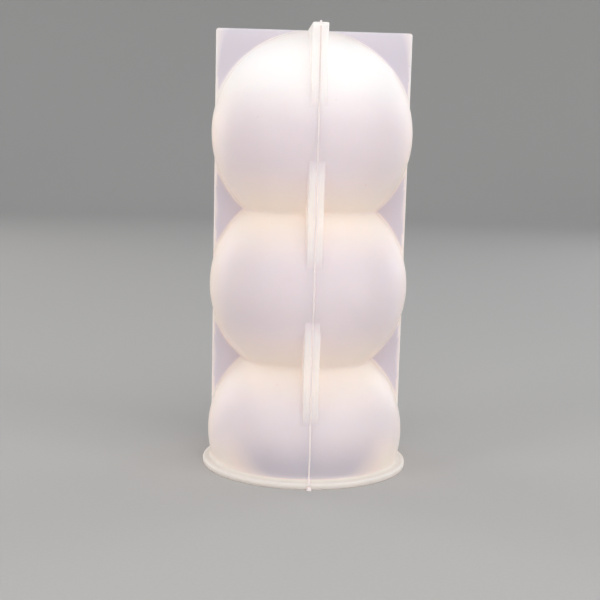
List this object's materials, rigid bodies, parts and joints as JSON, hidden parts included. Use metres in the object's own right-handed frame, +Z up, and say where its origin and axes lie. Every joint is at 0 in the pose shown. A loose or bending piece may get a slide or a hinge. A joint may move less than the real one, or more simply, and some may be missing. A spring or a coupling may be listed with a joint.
{
  "type": "candle mold",
  "caption": "Flexible silicone mold for a candle of stacked balls: flanged mouth at the base, fins that brace the walls, and a slit front that opens on a living hinge at the back.",
  "frame": {"origin": "centre of the mouth, on the flange's flat face that the mold stands on", "axes": "+Z up along the mold's axis towards the wick hole, -Y towards the slit front rib, +X towards the half that opens"},
  "size_m": [0.063, 0.0642, 0.1315],
  "materials": {
    "silicone_wall": "milky translucent, satin",
    "silicone_web": "thin, translucent, satin",
    "silicone_rib": "thick, milky, satin",
    "silicone_flange": "milky translucent, satin",
    "silicone_flash": "thin raised edge, satin"
  },
  "bodies": {
    "left_half": {"left_top_ball_wall": "silicone_wall", "left_middle_ball_wall": "silicone_wall", "left_bottom_ball_wall": "silicone_wall", "left_side_web": "silicone_web", "left_front_rib": "silicone_rib", "left_back_rib": "silicone_rib", "left_mouth_flange": "silicone_flange", "left_slit_flash": "silicone_flash"},
    "right_half": {"right_top_ball_wall": "silicone_wall", "right_middle_ball_wall": "silicone_wall", "right_bottom_ball_wall": "silicone_wall", "right_side_web": "silicone_web", "right_front_rib": "silicone_rib", "right_back_rib": "silicone_rib", "right_mouth_flange": "silicone_flange", "right_slit_flash": "silicone_flash"}
  },
  "joints": [
    {"name": "slit_opening", "type": "hinge", "parent": "left_half", "child": "right_half", "pos_m": [0, 0.0315, 0.06551], "axis": [0, 0, 1], "range_deg": [0, 60], "stiffness_Nm_per_rad": 0.02}
  ]
}
